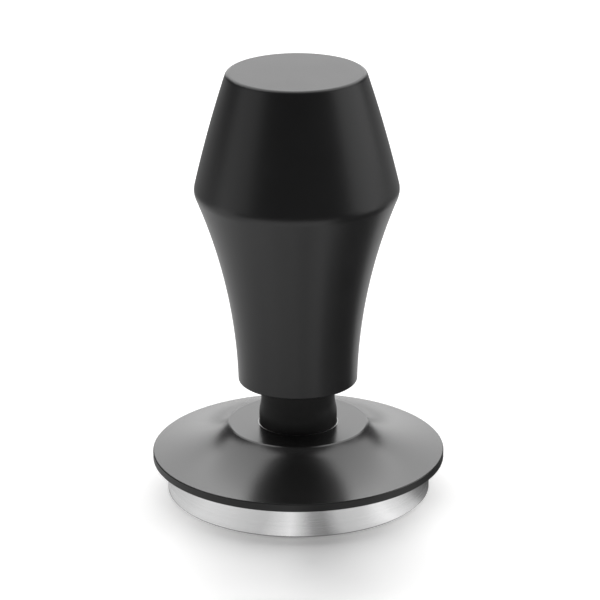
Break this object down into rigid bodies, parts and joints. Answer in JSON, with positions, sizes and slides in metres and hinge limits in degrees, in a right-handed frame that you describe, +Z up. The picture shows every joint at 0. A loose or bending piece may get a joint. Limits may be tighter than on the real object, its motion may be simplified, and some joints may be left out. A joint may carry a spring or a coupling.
{
  "type": "espresso tamper",
  "caption": "Spring-loaded, self-levelling espresso tamper: a tapered knob handle slides on a piston neck over a flared levelling plate and a round steel tamping base.",
  "frame": {"origin": "centre of the flat tamping face, which the tool stands on", "axes": "+Z up along the tool's axis, from the tamping face to the palm; +Y towards the first levelling screw"},
  "size_m": [0.065, 0.065, 0.0966],
  "materials": {
    "black_anodised": "satin black anodised",
    "stainless_steel": "fine turned",
    "spring_steel": "bright drawn wire",
    "screw_steel": "plain",
    "acetal": "natural",
    "rubber": "matte"
  },
  "bodies": {
    "base": {"base_disc": "stainless_steel", "locking_ring": "rubber", "spring_carrier": "stainless_steel", "landing_ring": "rubber", "piston": "black_anodised", "wear_ring": "acetal", "return_spring_1": "spring_steel", "return_spring_2": "spring_steel", "return_spring_3": "spring_steel"},
    "leveller": {"levelling_plate": "black_anodised", "plate_bush": "acetal", "leveller_screw_1": "screw_steel", "leveller_screw_2": "screw_steel", "leveller_screw_3": "screw_steel"},
    "spring_pack": {"thrust_washer": "stainless_steel", "main_spring": "spring_steel", "guide_tube": "black_anodised"},
    "handle": {"handle_body": "black_anodised", "handle_bush": "acetal", "tie_bolt": "screw_steel", "rebound_washer": "rubber", "upper_spring_seat": "stainless_steel"}
  },
  "joints": [
    {"name": "plate_lift", "type": "slide", "parent": "base", "child": "leveller", "axis": [0, 0, 1], "range_m": [0, 0.004], "stiffness_N_per_m": 900, "springref_m": -0.006, "deforming": ["return_spring_1", "return_spring_2", "return_spring_3"]},
    {"name": "handle_spin", "type": "hinge", "parent": "base", "child": "spring_pack", "pos_m": [0, 0, 0.03835], "axis": [0, 0, 1], "continuous": true},
    {"name": "handle_press", "type": "slide", "parent": "spring_pack", "child": "handle", "axis": [0, 0, -1], "range_m": [0, 0.0055], "stiffness_N_per_m": 5000, "springref_m": -0.022, "deforming": ["main_spring"]}
  ]
}
